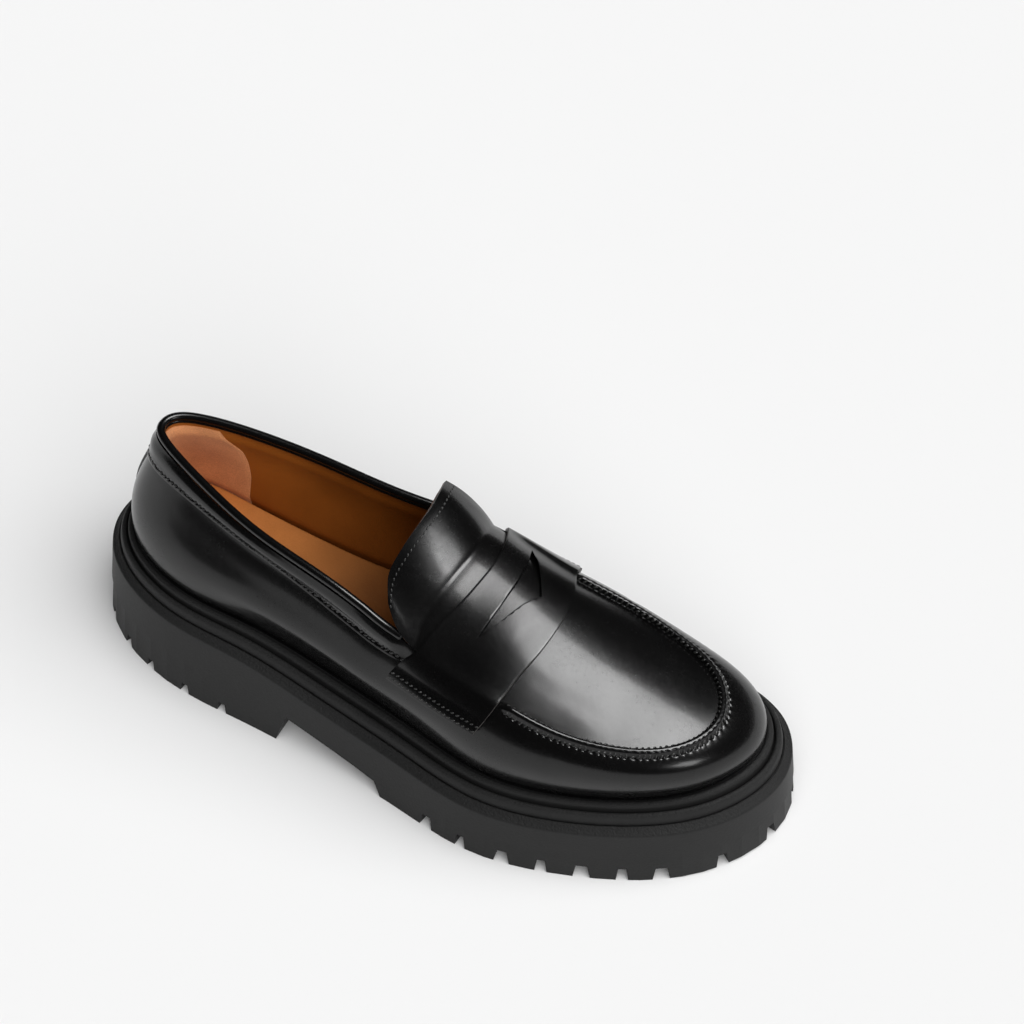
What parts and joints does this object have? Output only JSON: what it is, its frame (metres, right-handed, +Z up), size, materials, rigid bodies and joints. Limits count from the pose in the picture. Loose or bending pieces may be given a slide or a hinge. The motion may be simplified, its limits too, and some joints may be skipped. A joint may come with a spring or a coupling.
{
  "type": "chunky lug sole loafer",
  "caption": "Right loafer with a hollow black leather upper, raised apron seam, slotted saddle strap and a thick ribbed rubber sole with lugs and a block heel.",
  "frame": {"origin": "middle of the footprint on the floor", "axes": "+X towards the toe, +Y towards the medial side of the foot, +Z up"},
  "size_m": [0.2862, 0.1112, 0.1001],
  "materials": {
    "rubber": "matte charcoal black moulded rubber",
    "leather": "polished black smooth leather",
    "lining": "smooth natural tan lining leather"
  },
  "bodies": {
    "root": {"outsole": "rubber", "welt_midsole": "rubber", "insole": "lining", "upper": "leather", "collar_band": "leather", "heel_strip": "leather", "saddle_strap": "leather", "collar_binding": "leather"}
  },
  "joints": []
}
